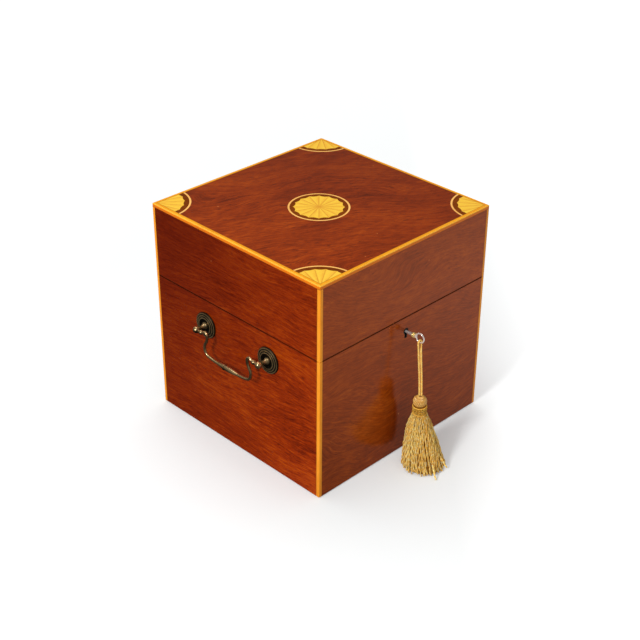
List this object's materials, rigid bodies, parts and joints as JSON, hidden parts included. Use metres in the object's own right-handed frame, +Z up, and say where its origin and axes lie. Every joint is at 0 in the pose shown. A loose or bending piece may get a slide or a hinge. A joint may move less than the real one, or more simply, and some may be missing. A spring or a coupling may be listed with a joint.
{
  "type": "decanter box",
  "caption": "Cube-shaped inlaid mahogany decanter box with a hinged fan-inlaid lid, swan-neck side bails, box lock, key and gold tassel.",
  "frame": {"origin": "middle of the box's underside, on the floor", "axes": "+Z up, the front with the keyhole faces -Y, the hinges are at +Y, +X is to the right seen from the front"},
  "size_m": [0.2602, 0.2885, 0.228],
  "materials": {
    "mahogany": "French-polished mahogany, reddish brown, glossy",
    "pine": "plain softwood bottom board",
    "boxwood": "polished boxwood, honey coloured",
    "satinwood": "polished satinwood, the flutes shaded at their edges",
    "dark_ground": "dark stained wood, polished",
    "felt": "green baize",
    "handle_brass": "bronzed antique brass with worn highlights",
    "hinge_brass": "aged brass",
    "lock_brass": "aged brass",
    "lock_iron": "dark iron",
    "screw_steel": "aged steel screws",
    "worn_brass": "dull greyish brass",
    "key_steel": "grey steel, worn smooth",
    "key_brass": "bright brass collar",
    "key_ring": "pale bright ring bow",
    "gold_cord": "old gold silk cord and netting",
    "gold_yarn": "old gold silk yarns"
  },
  "bodies": {
    "case": {"base_cloth": "felt", "case_bottom": "pine", "case_front": "mahogany", "case_back": "mahogany", "case_left_side": "mahogany", "case_right_side": "mahogany", "case_corner_stringing": "boxwood", "long_partition": "mahogany", "cross_partition": "mahogany", "cell_pads": "felt", "lock_plate": "lock_brass", "lock_case": "lock_iron", "lock_spring": "lock_iron", "lock_drill_pin": "lock_iron", "lock_screws": "screw_steel", "keyhole_liner": "worn_brass", "left_hinge_case_leaf": "hinge_brass", "right_hinge_case_leaf": "hinge_brass", "left_hinge_pin": "hinge_brass", "right_hinge_pin": "hinge_brass", "case_hinge_screws": "screw_steel", "left_handle_roses": "handle_brass", "right_handle_roses": "handle_brass", "left_handle_posts": "handle_brass", "right_handle_posts": "handle_brass", "handle_post_nuts": "lock_iron"},
    "lid": {"lid_front": "mahogany", "lid_back": "mahogany", "lid_left_side": "mahogany", "lid_right_side": "mahogany", "lid_top_panel": "mahogany", "lid_edge_stringing": "boxwood", "lid_corner_stringing": "boxwood", "patera_ring": "boxwood", "patera_ground": "dark_ground", "patera_fan": "satinwood", "corner_rings": "boxwood", "corner_grounds": "dark_ground", "corner_fans": "satinwood", "lid_pad": "felt", "link_plate": "lock_brass", "link_plate_screws": "screw_steel", "left_hinge_lid_leaf": "hinge_brass", "right_hinge_lid_leaf": "hinge_brass", "lid_hinge_screws": "screw_steel"},
    "key": {"key_shank": "key_steel", "key_collar": "key_brass", "key_bow": "key_ring"},
    "lock_bolt": {"lock_bolt": "lock_iron"},
    "left_bail": {"left_bail": "handle_brass"},
    "right_bail": {"right_bail": "handle_brass"},
    "tassel": {"tassel_cord": "gold_cord", "tassel_head": "gold_cord", "tassel_collar": "gold_cord", "tassel_skirt": "gold_yarn"}
  },
  "joints": [
    {"name": "lid_hinge", "type": "hinge", "parent": "case", "child": "lid", "pos_m": [0, 0.1152, 0.151], "axis": [-1, 0, 0], "range_deg": [0, 95]},
    {"name": "key_turn", "type": "hinge", "parent": "case", "child": "key", "pos_m": [0, -0.114, 0.1355], "axis": [0, 1, 0], "range_deg": [0, 90]},
    {"name": "bolt_throw", "type": "slide", "parent": "case", "child": "lock_bolt", "axis": [-1, 0, 0], "range_m": [0, 0.005]},
    {"name": "tassel_plumb", "type": "hinge", "parent": "key", "child": "tassel", "pos_m": [0, -0.1316, 0.13085], "axis": [0, 1, 0], "range_deg": [-90, 0]},
    {"name": "left_bail_swing", "type": "hinge", "parent": "case", "child": "left_bail", "pos_m": [-0.1265, -0.0034, 0.1235], "axis": [0, 1, 0], "range_deg": [-20, 200]},
    {"name": "right_bail_swing", "type": "hinge", "parent": "case", "child": "right_bail", "pos_m": [0.1265, -0.0034, 0.1235], "axis": [0, -1, 0], "range_deg": [-20, 200]}
  ],
  "couplings": [
    {"joint": "bolt_throw", "follows": "key_turn", "m_per_rad": 0.0031831},
    {"joint": "tassel_plumb", "follows": "key_turn", "ratio": -1}
  ]
}
